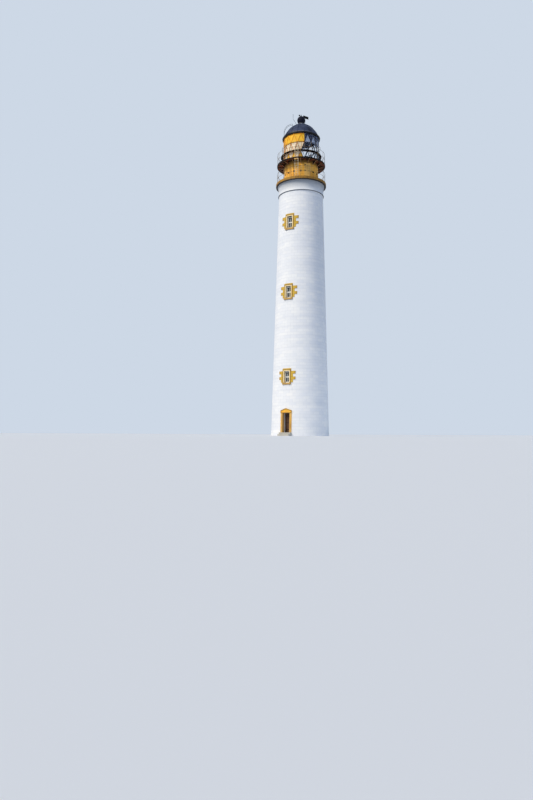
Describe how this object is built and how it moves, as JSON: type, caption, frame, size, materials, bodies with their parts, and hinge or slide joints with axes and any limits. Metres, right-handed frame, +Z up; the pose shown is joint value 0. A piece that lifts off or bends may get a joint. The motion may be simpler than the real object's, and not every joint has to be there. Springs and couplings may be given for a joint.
{
  "type": "lighthouse",
  "caption": "Tall tapering round masonry lighthouse with stair windows, two railed galleries, a lantern of diagonal glazing, a ribbed dome and a wind vane.",
  "frame": {"origin": "on the tower's axis at ground level, the centre of the flat underside", "axes": "+Z up along the tower's axis; the entrance and the row of windows face -Y"},
  "size_m": [6.6596, 7.2598, 37.254],
  "materials": {
    "white_masonry": "lime-washed masonry, matt",
    "grey_stone": "dressed stone, matt",
    "ochre_stone": "ochre painted dressed stone",
    "white_timber": "white gloss paint",
    "brown_timber": "dark brown painted boards",
    "window_glass": "window glass",
    "lantern_glass": "plate glass",
    "ochre_iron": "ochre gloss paint",
    "vent_iron": "ochre gloss paint, dark mouth",
    "brown_iron": "dark brown paint",
    "floor_iron": "worn grey paint",
    "railing_steel": "light grey paint",
    "lightning_rod": "galvanised",
    "glazing_iron": "dark paint",
    "yellow_sheet": "yellow gloss paint",
    "cream_sheet": "cream gloss paint",
    "gutter_iron": "black paint",
    "dome_sheet": "slate-black paint",
    "ventilator_iron": "black paint",
    "vane_iron": "black paint"
  },
  "bodies": {
    "tower": {"access_ladder": "railing_steel", "back_wall": "white_masonry", "catwalk_brackets": "brown_iron", "catwalk_plates": "brown_iron", "cavetto_course": "white_masonry", "cream_blank_panels": "cream_sheet", "dome_gores": "dome_sheet", "dome_ladder": "railing_steel", "dome_ribs": "dome_sheet", "door_frame": "brown_timber", "door_jambs": "ochre_stone", "door_pediment": "ochre_stone", "door_steps": "grey_stone", "drum_panels": "ochre_iron", "drum_vents": "vent_iron", "eave_gutter": "gutter_iron", "entrance_door": "brown_timber", "front_wall_left_of_door": "white_masonry", "front_wall_over_door": "white_masonry", "front_wall_right_of_door": "white_masonry", "gallery_cornice": "ochre_stone", "gallery_door": "ochre_iron", "glazing_bars": "glazing_iron", "glazing_rings": "glazing_iron", "ground_floor": "grey_stone", "hatch_plate": "brown_iron", "lantern_floor": "floor_iron", "lantern_gallery_brackets": "brown_iron", "lantern_gallery_deck": "brown_iron", "lantern_panes": "lantern_glass", "lantern_railing_rails": "railing_steel", "lantern_railing_stanchions": "railing_steel", "left_wall": "white_masonry", "lightning_rod": "lightning_rod", "main_railing_rails": "railing_steel", "main_railing_stanchions": "railing_steel", "right_wall": "white_masonry", "string_course": "white_masonry", "upper_handrail": "railing_steel", "vane_spindle": "ventilator_iron", "ventilator_ball": "ventilator_iron", "ventilator_neck": "ventilator_iron", "watch_room_floor": "grey_stone", "window_frames": "white_timber", "window_panes": "window_glass", "window_sills": "ochre_stone", "window_surrounds": "ochre_stone", "yellow_blank_panels": "yellow_sheet"},
    "vane": {"vane_arrow": "vane_iron", "vane_tail": "vane_iron"}
  },
  "joints": [
    {"name": "vane_turn", "type": "hinge", "parent": "tower", "child": "vane", "pos_m": [0, 0, 36.846], "axis": [0, 0, 1], "continuous": true}
  ]
}
